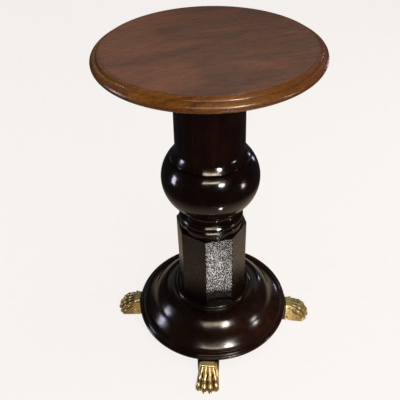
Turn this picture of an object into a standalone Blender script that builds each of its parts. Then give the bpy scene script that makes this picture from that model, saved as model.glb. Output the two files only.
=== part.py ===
"""Round pedestal table: a moulded round top on a turned and octagonal column, a turned
base on two half-lapped cross bars, and four brass lion's-paw toe caps.

Metres, +Z up. The origin is on the floor, under the axis of the column. The front paw
points nearly along -Y. Each separate piece of the table is its own object.
"""

import math

import bmesh
import bpy
from mathutils import Matrix, Vector

MM = 0.001

# Driving dimensions, in metres.
HEIGHT = 737 * MM
GAP = 0.3 * MM
ROUND_STEPS = 40
HARDWARE_STEPS = 10
ARC_STEPS = 4

# Table top.
TOP_FLAT_RADIUS = 195.5 * MM
TOP_RADIUS = 213.5 * MM
TOP_BAND_ROUND = 9.3 * MM
TOP_BEAD_ROUND = 6.8 * MM
TOP_THICKNESS = 24.8 * MM
TOP_UNDERSIDE = HEIGHT - TOP_THICKNESS

# Mounting plate under the top.
PLATE_RADIUS = 130 * MM
PLATE_THICKNESS = 19.5 * MM
PLATE_TOP = TOP_UNDERSIDE - GAP
PLATE_BOTTOM = PLATE_TOP - PLATE_THICKNESS
PLATE_CHAMFER = 4 * MM
PLATE_SCREWS = 6
PLATE_SCREW_CIRCLE = 105 * MM

# Turned column.
SHAFT_TOP_RADIUS = 70.6 * MM
SHAFT_FOOT_RADIUS = 73.0 * MM
SHAFT_FLARE_START = 527 * MM
SHAFT_BOTTOM = 502.4 * MM
FLARE_ROUND = 25 * MM
BULB_RADIUS = 106 * MM
BULB_CENTRE = 446.7 * MM
BULB_HALF_HEIGHT = 91.8 * MM
BULB_TOP = SHAFT_BOTTOM - GAP
BULB_BOTTOM = 374 * MM
NECK_TOP = BULB_BOTTOM - GAP
NECK_TORUS_CENTRE = (66.05 * MM, 346 * MM)
NECK_TORUS_ROUND = 6 * MM
NECK_DRUM_RADIUS = 72.5 * MM
NECK_DRUM_TOP = 336.5 * MM

# Octagonal column.
OCTAGON_TOP = 321.3 * MM
OCTAGON_BOTTOM = 119.8 * MM
OCTAGON_CORNER_RADIUS = 81.2 * MM
OCTAGON_TURN = math.radians(12.7)
NECK_BOTTOM = OCTAGON_TOP + GAP

# Turned base.
PLATEAU = OCTAGON_BOTTOM - GAP
BASE_RADIUS = 187.4 * MM
BASE_UNDERSIDE = 42.5 * MM
BASE_BEAD_ROUND = 5.5 * MM
FOOT_BEAD_CENTRE = (88 * MM, 117 * MM)
FOOT_BEAD_ROUND = 5.5 * MM

# Loose tenons turned on the column's pieces.
TENON_RADIUS = 30 * MM
TENON_LENGTH = 24 * MM
FOOT_TENON_RADIUS = 35 * MM

# Tie rod through the column, its nuts and washers.
ROD_RADIUS = 6 * MM
BORE_RADIUS = 7 * MM
NUT_RADIUS = 11 * MM
NUT_HEIGHT = 9.5 * MM
WASHER_RADIUS = 14 * MM
WASHER_HEIGHT = 2 * MM
COUNTERBORE_RADIUS = 16 * MM
TOP_COUNTERBORE = 14 * MM
BASE_COUNTERBORE = 30 * MM
ROD_PROUD = 1.5 * MM

# Cross bars and brass paws. The cross is turned a little clockwise, seen from above.
CROSS_TURN = math.radians(-3.65)
BAR_WIDTH = 50 * MM
BAR_TOP = BASE_UNDERSIDE - GAP
BAR_BOTTOM = 3 * MM
BAR_REACH = 188.7 * MM
STUB_WIDTH = 35 * MM
STUB_REACH = 221 * MM
STUB_BOTTOM = 5 * MM
STUB_TOP = 32 * MM
PAW_REAR = 189 * MM
PAW_TIP = 250 * MM
SOCKET_REACH = 222 * MM
TOE_COUNT = 4
TOE_PITCH = 12.4 * MM
PAW_SCREW_REACH = 194.5 * MM
PAW_SCREW_HEIGHT = 12 * MM

# Screws.
BASE_SCREW_CIRCLES = (75 * MM, 150 * MM)
WOOD_SCREW_HEAD = 4.5 * MM
WOOD_SCREW_SHANK = 2.2 * MM
PAW_SCREW_HEAD = 2.2 * MM
PAW_SCREW_SHANK = 1.2 * MM
PAW_SCREW_LENGTH = 13 * MM


def clear_scene():
    """Remove whatever the startup scene holds."""
    for leftover in list(bpy.data.objects):
        bpy.data.objects.remove(leftover)


def finish_material(name, colour, roughness, metallic=0.0):
    """A plain Principled material."""
    material = bpy.data.materials.new(name)
    material.use_nodes = True
    shader = material.node_tree.nodes["Principled BSDF"]
    shader.inputs["Base Color"].default_value = (*colour, 1.0)
    shader.inputs["Roughness"].default_value = roughness
    shader.inputs["Metallic"].default_value = metallic
    return material


def arc(centre, radius, start, stop, steps=ARC_STEPS):
    """Points (r, z) along an arc about centre, from angle start to stop in degrees."""
    points = []
    for step in range(steps + 1):
        angle = math.radians(start + (stop - start) * step / steps)
        points.append((centre[0] + radius * math.cos(angle), centre[1] + radius * math.sin(angle)))
    return points


def place(bm, name, material, smooth_angle=35):
    """Turn a bmesh into a named object, its normals outward and its round faces smooth."""
    bmesh.ops.remove_doubles(bm, verts=bm.verts, dist=1e-6)
    bmesh.ops.recalc_face_normals(bm, faces=bm.faces)
    mesh = bpy.data.meshes.new(name)
    bm.to_mesh(mesh)
    bm.free()
    mesh.materials.append(material)
    mesh.shade_smooth()
    mesh.set_sharp_from_angle(angle=math.radians(smooth_angle))
    piece = bpy.data.objects.new(name, mesh)
    bpy.context.collection.objects.link(piece)
    return piece


def turned(name, outline, material, steps=ROUND_STEPS):
    """A piece turned about the Z axis from its half-section, a list of (r, z) points.

    An outline that starts and ends on the axis is a solid piece; any other outline is
    closed back to its first point, which leaves a bore.
    """
    bm = bmesh.new()
    verts = [bm.verts.new((r, 0, z)) for r, z in outline]
    edges = [bm.edges.new(pair) for pair in zip(verts, verts[1:])]
    if outline[0][0] > 0:
        edges.append(bm.edges.new((verts[-1], verts[0])))
    bmesh.ops.spin(
        bm, geom=edges, cent=(0, 0, 0), axis=(0, 0, 1), angle=2 * math.pi, steps=steps, use_merge=True
    )
    return place(bm, name, material)


def prism_bmesh(sides, radius, low, high):
    """A bmesh with an upright prism about the Z axis."""
    bm = bmesh.new()
    bmesh.ops.create_cone(
        bm, cap_ends=True, segments=sides, radius1=radius, radius2=radius, depth=high - low
    )
    bmesh.ops.translate(bm, verts=bm.verts, vec=(0, 0, (low + high) / 2))
    return bm


def box_bmesh(low, high):
    """A bmesh with an axis-aligned box between two corners."""
    bm = bmesh.new()
    bmesh.ops.create_cube(bm, size=1)
    centre = (Vector(low) + Vector(high)) / 2
    size = Vector(high) - Vector(low)
    bmesh.ops.scale(bm, verts=bm.verts, vec=size)
    bmesh.ops.translate(bm, verts=bm.verts, vec=centre)
    return bm


def helper(bm, name, material):
    """An object that only shapes others, left out of the model."""
    shape = place(bm, name, material)
    shape.hide_render = True
    shape.display_type = "WIRE"
    return shape


def combine(piece, other, operation):
    """Give piece an exact Boolean with another object."""
    modifier = piece.modifiers.new(f"{operation.lower()}_{other.name}"[:60], "BOOLEAN")
    modifier.operation = operation
    modifier.solver = "EXACT"
    modifier.object = other


def pointed(direction, at):
    """The matrix that stands a +Z shape along direction, at a place."""
    turn = Vector(direction).to_track_quat("Z", "Y").to_matrix().to_4x4()
    return Matrix.Translation(Vector(at)) @ turn


def screw_outline(head, shank, length, clearance=0.0):
    """Half-section of a countersunk screw whose head is flush with z = 0 and whose point
    is at -length. A clearance grows it into the outline of its own hole."""
    head += clearance
    shank += clearance
    mouth = clearance * 2
    taper = head - shank
    return [
        (0, mouth),
        (head, mouth),
        (head, -0.3 * MM),
        (shank, -taper),
        (shank, -length + shank),
        (0, -length - clearance),
    ]


class Screw:
    """One countersunk screw: its place, its direction and its sizes."""

    def __init__(self, name, at, point_along, head, shank, length):
        self.name = name
        self.matrix = pointed(-Vector(point_along), at)
        self.sizes = (head, shank, length)

    def build(self, material):
        """The screw itself."""
        screw = turned(self.name, screw_outline(*self.sizes), material, HARDWARE_STEPS)
        screw.matrix_world = self.matrix
        return screw

    def hole(self, material):
        """The hole it sits in, GAP wider all round."""
        cutter = turned(f"{self.name}_hole", screw_outline(*self.sizes, GAP), material, HARDWARE_STEPS)
        cutter.matrix_world = self.matrix
        cutter.hide_render = True
        cutter.display_type = "WIRE"
        return cutter


def around(angle, reach, height=0.0):
    """A point at a bearing from the front (-Y), anticlockwise from above, in metres."""
    return Vector((math.sin(angle) * reach, -math.cos(angle) * reach, height))


def paw_bearing(number):
    """The bearing of foot 0 (front), 1 (right), 2 (back) or 3 (left)."""
    return CROSS_TURN + number * math.pi / 2


def build_table_top(material):
    """The round top, with a small bead over a wide half-round band."""
    band_centre = (TOP_RADIUS - TOP_BAND_ROUND, TOP_UNDERSIDE + TOP_BAND_ROUND)
    bead_centre = (TOP_FLAT_RADIUS + 1.1 * MM, HEIGHT - 0.9 * MM - TOP_BEAD_ROUND)
    outline = [(0, HEIGHT), (TOP_FLAT_RADIUS, HEIGHT)]
    outline += arc(bead_centre, TOP_BEAD_ROUND, 92, 8)
    outline += arc(band_centre, TOP_BAND_ROUND, 84, -88, 7)
    outline += [(0, TOP_UNDERSIDE)]
    return turned("table_top", outline, material)


def build_top_plate(material):
    """The round plate that the top is screwed to, counterbored for the tie rod's nut."""
    floor = PLATE_TOP - TOP_COUNTERBORE
    outline = [
        (COUNTERBORE_RADIUS, PLATE_TOP),
        (PLATE_RADIUS, PLATE_TOP),
        (PLATE_RADIUS, PLATE_BOTTOM + PLATE_CHAMFER),
        (PLATE_RADIUS - PLATE_CHAMFER, PLATE_BOTTOM),
        (BORE_RADIUS, PLATE_BOTTOM),
        (BORE_RADIUS, floor),
        (COUNTERBORE_RADIUS, floor),
    ]
    return turned("top_plate", outline, material)


def build_upper_shaft(material):
    """The plain round shaft, which flares out over the bulb and ends in a tenon."""
    flare = arc((SHAFT_FOOT_RADIUS + FLARE_ROUND, SHAFT_FLARE_START), FLARE_ROUND, 180, 208.5)
    outline = [(BORE_RADIUS, PLATE_BOTTOM - GAP), (SHAFT_TOP_RADIUS, PLATE_BOTTOM - GAP)]
    outline += flare
    outline += [
        (82.8 * MM, 504.2 * MM),
        (81.4 * MM, SHAFT_BOTTOM),
        (TENON_RADIUS, SHAFT_BOTTOM),
        (TENON_RADIUS, SHAFT_BOTTOM - TENON_LENGTH),
        (BORE_RADIUS, SHAFT_BOTTOM - TENON_LENGTH),
    ]
    return turned("upper_shaft", outline, material)


def build_bulb(material):
    """The bulb, an oval of revolution cut flat above and below."""
    start = math.asin((BULB_TOP - 1.2 * MM - BULB_CENTRE) / BULB_HALF_HEIGHT)
    stop = -math.asin((BULB_CENTRE - BULB_BOTTOM) / BULB_HALF_HEIGHT)
    steps = 14
    socket = TENON_RADIUS + GAP
    socket_floor = BULB_TOP - TENON_LENGTH - GAP
    outline = [(socket, BULB_TOP), (83.4 * MM, BULB_TOP)]
    for step in range(steps + 1):
        angle = start + (stop - start) * step / steps
        outline.append((BULB_RADIUS * math.cos(angle), BULB_CENTRE + BULB_HALF_HEIGHT * math.sin(angle)))
    outline += [
        (TENON_RADIUS, BULB_BOTTOM),
        (TENON_RADIUS, BULB_BOTTOM - TENON_LENGTH),
        (BORE_RADIUS, BULB_BOTTOM - TENON_LENGTH),
        (BORE_RADIUS, socket_floor),
        (socket, socket_floor),
    ]
    return turned("bulb", outline, material)


def build_neck_collar(material):
    """The turned collar between bulb and octagon: a cove, a torus and a low drum."""
    socket = TENON_RADIUS + GAP
    socket_floor = NECK_TOP - TENON_LENGTH - GAP
    outline = [(socket, NECK_TOP)]
    outline += arc((74.5 * MM, 364.7 * MM), 12.5 * MM, 134, 208, 5)
    outline += [(63.6 * MM, 356.7 * MM), (66.4 * MM, 355.2 * MM)]
    outline += arc(NECK_TORUS_CENTRE, NECK_TORUS_ROUND, 35, -62, 5)
    outline += [
        (70.6 * MM, NECK_DRUM_TOP),
        (NECK_DRUM_RADIUS, NECK_DRUM_TOP - 1.6 * MM),
        (NECK_DRUM_RADIUS, NECK_BOTTOM),
        (TENON_RADIUS, NECK_BOTTOM),
        (TENON_RADIUS, NECK_BOTTOM - TENON_LENGTH),
        (BORE_RADIUS, NECK_BOTTOM - TENON_LENGTH),
        (BORE_RADIUS, socket_floor),
        (socket, socket_floor),
    ]
    return turned("neck_collar", outline, material)


def build_octagon_column(material):
    """The octagonal part of the column, socketed above and tenoned below."""
    bm = prism_bmesh(8, OCTAGON_CORNER_RADIUS, OCTAGON_BOTTOM, OCTAGON_TOP)
    corner_to_face = math.pi / 8
    turn = Matrix.Rotation(OCTAGON_TURN - math.pi / 2 + corner_to_face, 3, "Z")
    bmesh.ops.rotate(bm, verts=bm.verts, cent=(0, 0, 0), matrix=turn)
    column = place(bm, "octagon_column", material, 20)
    tenon_end = OCTAGON_BOTTOM - TENON_LENGTH
    tenon = prism_bmesh(ROUND_STEPS, FOOT_TENON_RADIUS, tenon_end, OCTAGON_BOTTOM + 5 * MM)
    combine(column, helper(tenon, "octagon_tenon", material), "UNION")
    socket = prism_bmesh(
        ROUND_STEPS, TENON_RADIUS + GAP, NECK_BOTTOM - TENON_LENGTH - 2 * GAP, OCTAGON_TOP + 5 * MM
    )
    combine(column, helper(socket, "octagon_socket", material), "DIFFERENCE")
    bore = prism_bmesh(ROUND_STEPS // 2, BORE_RADIUS, tenon_end - 5 * MM, OCTAGON_TOP)
    combine(column, helper(bore, "octagon_bore", material), "DIFFERENCE")
    return column


def build_base(material):
    """The turned base: a bead round the column's foot, an ogee and a beaded rim."""
    socket = FOOT_TENON_RADIUS + GAP
    socket_floor = OCTAGON_BOTTOM - TENON_LENGTH - GAP
    floor = BASE_UNDERSIDE + BASE_COUNTERBORE
    bead_centre = (BASE_RADIUS - BASE_BEAD_ROUND, BASE_UNDERSIDE + BASE_BEAD_ROUND)
    outline = [(socket, PLATEAU), (82.6 * MM, PLATEAU)]
    outline += arc(FOOT_BEAD_CENTRE, FOOT_BEAD_ROUND, 140, -15, 3)
    outline += arc((100 * MM, 77.9 * MM), 35.4 * MM, 97, 48.5, 4)
    outline += arc((79.1 * MM, 43.2 * MM), 75 * MM, 44.5, 31, 2)
    outline += arc((207.7 * MM, 120.4 * MM), 75 * MM, 217, 224.5, 1)
    outline += arc((189.8 * MM, 89.2 * MM), 40 * MM, 228.5, 242, 1)
    outline += [(172 * MM, 53 * MM), (173 * MM, 54.3 * MM), (176 * MM, 55.2 * MM), (180 * MM, 54.4 * MM)]
    outline += arc(bead_centre, BASE_BEAD_ROUND, 95, -90, 6)
    outline += [
        (COUNTERBORE_RADIUS, BASE_UNDERSIDE),
        (COUNTERBORE_RADIUS, floor),
        (BORE_RADIUS, floor),
        (BORE_RADIUS, socket_floor),
        (socket, socket_floor),
    ]
    return turned("base", outline, material)


def build_tie_rod(material):
    """The steel rod that draws the column together, with a nut and washer at each end."""
    low_face = BASE_UNDERSIDE + BASE_COUNTERBORE
    high_face = PLATE_TOP - TOP_COUNTERBORE
    stack = WASHER_HEIGHT + NUT_HEIGHT + 2 * GAP + ROD_PROUD
    rod_low = low_face - stack
    rod_high = high_face + stack
    chamfer = 1 * MM
    outline = [
        (0, rod_high),
        (ROD_RADIUS - chamfer, rod_high),
        (ROD_RADIUS, rod_high - chamfer),
        (ROD_RADIUS, rod_low + chamfer),
        (ROD_RADIUS - chamfer, rod_low),
        (0, rod_low),
    ]
    turned("tie_rod", outline, material, 16)
    for end, face, way in (("lower", low_face, -1), ("upper", high_face, 1)):
        washer_near = face + way * GAP
        washer_far = washer_near + way * WASHER_HEIGHT
        nut_near = washer_far + way * GAP
        nut_far = nut_near + way * NUT_HEIGHT
        ring_piece(f"{end}_washer", 24, WASHER_RADIUS, washer_near, washer_far, material)
        ring_piece(f"{end}_nut", 6, NUT_RADIUS, nut_near, nut_far, material)


def ring_piece(name, sides, radius, one_face, other_face, material):
    """A flat ring or a nut round the tie rod."""
    low, high = sorted((one_face, other_face))
    hole = ROD_RADIUS + GAP
    turning = 24
    bm = bmesh.new()
    rings = []
    for z in (low, high):
        for reach, count in ((hole, turning), (radius, sides)):
            ring = []
            for step in range(turning):
                angle = 2 * math.pi * step / turning
                half_side = math.pi / count
                off_middle = (angle % (2 * half_side)) - half_side
                flat = reach * math.cos(half_side) / math.cos(off_middle) if count < turning else reach
                ring.append(bm.verts.new((flat * math.cos(angle), flat * math.sin(angle), z)))
            rings.append(ring)
    low_hole, low_rim, high_hole, high_rim = rings
    for first, second in ((low_hole, low_rim), (low_rim, high_rim), (high_rim, high_hole), (high_hole, low_hole)):
        for step in range(turning):
            after = (step + 1) % turning
            bm.faces.new((first[step], first[after], second[after], second[step]))
    return place(bm, name, material)


def build_cross_bar(name, bearing, notch_above, screws, material):
    """One bar of the cross under the base, half-lapped, with a stub at each end for a cap.

    It is modelled along Y, the front at -Y, and then turned to its bearing.
    """
    half = BAR_WIDTH / 2
    middle = (BAR_BOTTOM + BAR_TOP) / 2
    bar = place(box_bmesh((-half, -BAR_REACH, BAR_BOTTOM), (half, BAR_REACH, BAR_TOP)), name, material)
    stub = box_bmesh(
        (-STUB_WIDTH / 2, -STUB_REACH, STUB_BOTTOM), (STUB_WIDTH / 2, STUB_REACH, STUB_TOP)
    )
    stubs = helper(stub, f"{name}_stubs", material)
    notch_half = half + GAP
    low = middle - GAP / 2 if notch_above else BAR_BOTTOM - 5 * MM
    high = BAR_TOP + 5 * MM if notch_above else middle + GAP / 2
    notch = helper(
        box_bmesh((-half - 5 * MM, -notch_half, low), (half + 5 * MM, notch_half, high)),
        f"{name}_notch",
        material,
    )
    turn = Matrix.Rotation(bearing, 4, "Z")
    for shape in (bar, stubs, notch):
        shape.matrix_world = turn
    combine(bar, stubs, "UNION")
    combine(bar, notch, "DIFFERENCE")
    for screw in screws:
        combine(bar, screw.hole(material), "DIFFERENCE")
    return bar


def paw_section(reach, half_foot, half_top, height, round_drop):
    """Twelve points round one cross-section of the paw, from its sole's left corner."""
    shoulder = height - round_drop
    half = [
        (half_foot, 0.0),
        (half_foot, shoulder * 0.45),
        ((half_foot + half_top) / 2, shoulder),
        (half_top, height - round_drop * 0.35),
        (half_top * 0.5, height),
    ]
    right = [(x, -reach, z) for x, z in half]
    left = [(-x, -reach, z) for x, z in reversed(half)]
    return right + left


def build_paw(name, bearing, screws, material):
    """A brass cap in the shape of a lion's paw, hollow behind for the bar's stub."""
    sections = (
        (PAW_REAR, 23.5 * MM, 18 * MM, 46 * MM, 6 * MM),
        (205 * MM, 24.5 * MM, 19.5 * MM, 45 * MM, 7 * MM),
        (220 * MM, 25.8 * MM, 21 * MM, 40 * MM, 9 * MM),
        (231 * MM, 26.5 * MM, 22 * MM, 31 * MM, 9 * MM),
        (239 * MM, 23 * MM, 19 * MM, 19 * MM, 8 * MM),
        (243 * MM, 20 * MM, 15 * MM, 9 * MM, 4 * MM),
    )
    bm = bmesh.new()
    rings = [[bm.verts.new(point) for point in paw_section(*section)] for section in sections]
    count = len(rings[0])
    for near, far in zip(rings, rings[1:]):
        for step in range(count):
            after = (step + 1) % count
            bm.faces.new((near[step], near[after], far[after], far[step]))
    bm.faces.new(rings[0])
    bm.faces.new(rings[-1])
    paw = place(bm, name, material)
    turn = Matrix.Rotation(bearing, 4, "Z")
    paw.matrix_world = turn
    for toe in range(TOE_COUNT):
        toe_shape = helper(toe_bmesh(toe), f"{name}_toe_{toe}", material)
        toe_shape.matrix_world = turn
        combine(paw, toe_shape, "UNION")
    half_socket = STUB_WIDTH / 2 + GAP
    socket = helper(
        box_bmesh(
            (-half_socket, -SOCKET_REACH, STUB_BOTTOM - GAP),
            (half_socket, -PAW_REAR + 5 * MM, STUB_TOP + GAP),
        ),
        f"{name}_socket",
        material,
    )
    socket.matrix_world = turn
    combine(paw, socket, "DIFFERENCE")
    for screw in screws:
        combine(paw, screw.hole(material), "DIFFERENCE")
    return paw


def toe_bmesh(toe):
    """One toe: a long rounded lobe, cut off flat at the floor."""
    offset = (toe - (TOE_COUNT - 1) / 2) * TOE_PITCH
    outer = abs(offset) > TOE_PITCH
    length = 15 * MM
    tip = PAW_TIP - (7 * MM if outer else 0)
    bm = bmesh.new()
    bmesh.ops.create_uvsphere(bm, u_segments=10, v_segments=7, radius=1)
    bmesh.ops.scale(bm, verts=bm.verts, vec=(6.9 * MM, length, 13 * MM))
    bmesh.ops.translate(bm, verts=bm.verts, vec=(offset * 1.06, -tip + length, 6 * MM))
    below = bm.verts[:] + bm.edges[:] + bm.faces[:]
    cut = bmesh.ops.bisect_plane(bm, geom=below, plane_co=(0, 0, 0), plane_no=(0, 0, -1), clear_outer=True)
    rim = [edge for edge in cut["geom_cut"] if isinstance(edge, bmesh.types.BMEdge)]
    bmesh.ops.contextual_create(bm, geom=rim)
    return bm


def plate_screws():
    """The screws through the plate into the top."""
    screws = []
    for number in range(PLATE_SCREWS):
        angle = 2 * math.pi * (number + 0.5) / PLATE_SCREWS
        at = around(angle, PLATE_SCREW_CIRCLE, PLATE_BOTTOM)
        name = f"plate_screw_{number + 1}"
        screws.append(Screw(name, at, (0, 0, 1), WOOD_SCREW_HEAD, WOOD_SCREW_SHANK, 33 * MM))
    return screws


def bar_screws(number):
    """The two screws through one arm of the cross into the base."""
    screws = []
    for inner_or_outer, reach in zip(("inner", "outer"), BASE_SCREW_CIRCLES):
        at = around(paw_bearing(number), reach, BAR_BOTTOM)
        name = f"bar_screw_{number + 1}_{inner_or_outer}"
        screws.append(Screw(name, at, (0, 0, 1), WOOD_SCREW_HEAD, WOOD_SCREW_SHANK, 50 * MM))
    return screws


def paw_screws(number):
    """The small screws through the two sides of one cap into the bar's stub."""
    bearing = paw_bearing(number)
    screws = []
    for side, sign in (("left", -1), ("right", 1)):
        across = Vector((math.cos(bearing), math.sin(bearing), 0)) * sign
        wall = 23.9 * MM
        at = around(bearing, PAW_SCREW_REACH, PAW_SCREW_HEIGHT) + across * wall
        name = f"paw_screw_{number + 1}_{side}"
        screws.append(Screw(name, at, -across, PAW_SCREW_HEAD, PAW_SCREW_SHANK, PAW_SCREW_LENGTH))
    return screws


def main():
    """Build every piece of the table."""
    clear_scene()
    polished = finish_material("polished_mahogany", (0.14, 0.045, 0.022), 0.25)
    ebonised = finish_material("dark_polish", (0.022, 0.009, 0.006), 0.12)
    plain_wood = finish_material("plain_wood", (0.09, 0.045, 0.025), 0.6)
    brass = finish_material("brass", (0.72, 0.55, 0.25), 0.28, 1.0)
    steel = finish_material("steel", (0.45, 0.45, 0.46), 0.4, 1.0)

    top_screws = plate_screws()
    table_top = build_table_top(polished)
    top_plate = build_top_plate(plain_wood)
    for screw in top_screws:
        screw.build(steel)
        combine(table_top, screw.hole(plain_wood), "DIFFERENCE")
        combine(top_plate, screw.hole(plain_wood), "DIFFERENCE")

    build_upper_shaft(ebonised)
    build_bulb(ebonised)
    build_neck_collar(ebonised)
    build_octagon_column(ebonised)
    base = build_base(ebonised)
    build_tie_rod(steel)

    feet = range(4)
    arm_screws = {number: bar_screws(number) for number in feet}
    cap_screws = {number: paw_screws(number) for number in feet}
    for number in feet:
        for screw in arm_screws[number]:
            screw.build(steel)
            combine(base, screw.hole(plain_wood), "DIFFERENCE")
        for screw in cap_screws[number]:
            screw.build(steel)
    for name, ends, notch_above in (("cross_bar_long", (0, 2), True), ("cross_bar_lapped", (1, 3), False)):
        holes = [screw for number in ends for screw in arm_screws[number] + cap_screws[number]]
        build_cross_bar(name, paw_bearing(ends[0]), notch_above, holes, ebonised)
    for number, side in zip(feet, ("front", "right", "back", "left")):
        build_paw(f"paw_{side}", paw_bearing(number), cap_screws[number], brass)


main()
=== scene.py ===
"""Looks of a round pedestal table: a moulded mahogany top on a dark polished column and
base, with four cast brass lion's-paw toe caps.

The frame is in metres, +Z up, with its origin on the floor under the column. Sizes held by
the classes are in millimetres. Each sub-assembly is a class that builds its own pieces and
dresses them in their finishes.
"""

import logging
import math
from dataclasses import dataclass, field
from enum import Enum
from typing import Any, Callable, Optional, Sequence, Union

import bpy
from mathutils import Matrix, Vector


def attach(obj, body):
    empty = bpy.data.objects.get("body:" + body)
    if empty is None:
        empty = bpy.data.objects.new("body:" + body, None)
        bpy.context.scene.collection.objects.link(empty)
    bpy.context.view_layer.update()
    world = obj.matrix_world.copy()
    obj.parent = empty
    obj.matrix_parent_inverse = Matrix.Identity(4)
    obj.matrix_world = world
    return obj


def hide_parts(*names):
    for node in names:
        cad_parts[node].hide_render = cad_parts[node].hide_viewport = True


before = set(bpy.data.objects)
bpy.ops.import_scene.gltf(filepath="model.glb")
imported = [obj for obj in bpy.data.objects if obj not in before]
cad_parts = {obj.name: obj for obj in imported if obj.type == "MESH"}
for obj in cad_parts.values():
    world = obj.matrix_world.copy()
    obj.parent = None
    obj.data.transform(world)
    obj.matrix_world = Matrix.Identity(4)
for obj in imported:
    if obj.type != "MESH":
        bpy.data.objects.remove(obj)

MM = 0.001
BODY = "root"
LOG = logging.getLogger("pedestal_table")

Colour = tuple[float, float, float]
Point = tuple[float, float]
Place = tuple[float, float, float]

MERGE = 0.004 * MM


# ---------------------------------------------------------------- shader maths and nodes


@dataclass(frozen=True)
class Wire:
    """A node's output that can stand in a sum, as a number can."""

    sheet: "Sheet"
    socket: bpy.types.NodeSocket

    def _sum(self, operation: str, first: Any, second: Any = 0.0) -> "Wire":
        """Add one Math node to the sheet."""
        return self.sheet.add("ShaderNodeMath", {"operation": operation}, {0: first, 1: second})

    def __add__(self, other: "Value") -> "Wire":
        """The sum of two values."""
        return self._sum("ADD", self, other)

    __radd__ = __add__

    def __mul__(self, other: "Value") -> "Wire":
        """The product of two values."""
        return self._sum("MULTIPLY", self, other)

    __rmul__ = __mul__

    def ease(self, low: float, high: float, start: float = 0.0, stop: float = 1.0) -> "Wire":
        """A smooth step of this value.

        Args:
            low: where the step begins.
            high: where the step ends.
            start: the result below low.
            stop: the result above high.

        Returns:
            A value from start to stop.
        """
        values = {0: self, 1: low, 2: high, 3: start, 4: stop}
        return self.sheet.add("ShaderNodeMapRange", {"interpolation_type": "SMOOTHSTEP"}, values)


Value = Union[float, Wire]


class Sheet:
    """The node tree of one material, laid out node by node."""

    def __init__(self, name: str) -> None:
        """Start an empty material.

        Args:
            name: the material's name.
        """
        self.material = bpy.data.materials.new(name)
        self.material.use_nodes = True
        self.tree = self.material.node_tree
        self.tree.nodes.clear()
        self.object_space = self.add("ShaderNodeTexCoord", outlet="Object")

    def add(
        self,
        kind: str,
        settings: Optional[dict[str, Any]] = None,
        values: Optional[dict[Any, Any]] = None,
        outlet: Union[int, str] = 0,
    ) -> Wire:
        """Add a node.

        Args:
            kind: the node's type.
            settings: its options, such as an operation; a ramp's stops are under "stops".
            values: a number, colour or Wire for each of its sockets, by name or place.
            outlet: the output that is wanted.

        Returns:
            The wanted output.
        """
        node = self.tree.nodes.new(kind)
        for key, setting in (settings or {}).items():
            if key == "stops":
                self._lay_stops(node.color_ramp, setting)
            else:
                setattr(node, key, setting)
        for key, value in (values or {}).items():
            if isinstance(value, Wire):
                self.tree.links.new(value.socket, node.inputs[key])
            else:
                node.inputs[key].default_value = value
        return Wire(self, node.outputs[outlet])

    @staticmethod
    def _lay_stops(ramp: bpy.types.ColorRamp, stops: Sequence[tuple[float, Colour]]) -> None:
        """Give a ramp its stops.

        Args:
            ramp: the ramp of a new node, which has two stops.
            stops: each stop's place and colour.
        """
        while len(ramp.elements) < len(stops):
            ramp.elements.new(1.0)
        for element, (place, colour) in zip(ramp.elements, stops):
            element.position = place
            element.color = (*colour, 1.0)

    def where(self, turn: float = 0.0, stretch: Place = (1, 1, 1)) -> Wire:
        """Coordinates of the piece, turned about Z and then stretched.

        Args:
            turn: the turn in degrees.
            stretch: the factor along each axis, after the turn.

        Returns:
            The new coordinates.
        """
        settings = {"vector_type": "POINT"}
        values = {"Vector": self.object_space, "Rotation": (0, 0, math.radians(turn))}
        turned = self.add("ShaderNodeMapping", settings, values)
        return self.add("ShaderNodeMapping", settings, {"Vector": turned, "Scale": stretch})

    def noise(
        self, where: Wire, scale: float, detail: float = 3.0, roughness: float = 0.5, swirl: float = 0.0
    ) -> Wire:
        """A cloudy pattern from 0 to 1.

        Args:
            where: its coordinates.
            scale: how many features there are in a metre.
            detail: how many finer layers are added.
            roughness: how strong the finer layers are.
            swirl: how far the pattern is distorted.

        Returns:
            The pattern.
        """
        values = {
            "Vector": where,
            "Scale": scale,
            "Detail": detail,
            "Roughness": roughness,
            "Distortion": swirl,
        }
        return self.add("ShaderNodeTexNoise", None, values)

    def mix(self, share: Value, first: Any, second: Any, way: str = "MIX") -> Wire:
        """Blend two colours.

        Args:
            share: how much of the second colour shows.
            first: a colour or a Wire.
            second: a colour or a Wire.
            way: the blend type.

        Returns:
            The blended colour.
        """
        values = {0: share}
        for inlet, colour in ((6, first), (7, second)):
            values[inlet] = colour if isinstance(colour, Wire) else (*colour, 1.0)
        return self.add("ShaderNodeMix", {"data_type": "RGBA", "blend_type": way}, values, 2)

    def ramp(self, value: Wire, stops: Sequence[tuple[float, Colour]]) -> Wire:
        """Colours along a value."""
        return self.add("ShaderNodeValToRGB", {"stops": stops}, {0: value})

    def bump(self, height: Wire, depth: float, normal: Optional[Wire] = None) -> Wire:
        """A bumped normal.

        Args:
            height: the pattern of heights, from 0 to 1.
            depth: its depth in millimetres.
            normal: a normal to build on.

        Returns:
            The normal.
        """
        values = {"Height": height, "Distance": depth * MM, "Strength": 1.0}
        if normal is not None:
            values["Normal"] = normal
        return self.add("ShaderNodeBump", None, values)

    def close(self, values: dict[str, Any]) -> bpy.types.Material:
        """Finish the material with a Principled surface.

        Args:
            values: what its sockets get.

        Returns:
            The material.
        """
        return self.show(self.add("ShaderNodeBsdfPrincipled", None, values))

    def show(self, shader: Wire) -> bpy.types.Material:
        """Finish the material with a shader as its surface."""
        output = self.tree.nodes.new("ShaderNodeOutputMaterial")
        self.tree.links.new(shader.socket, output.inputs["Surface"])
        return self.material


# ---------------------------------------------------------------- finishes


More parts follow.
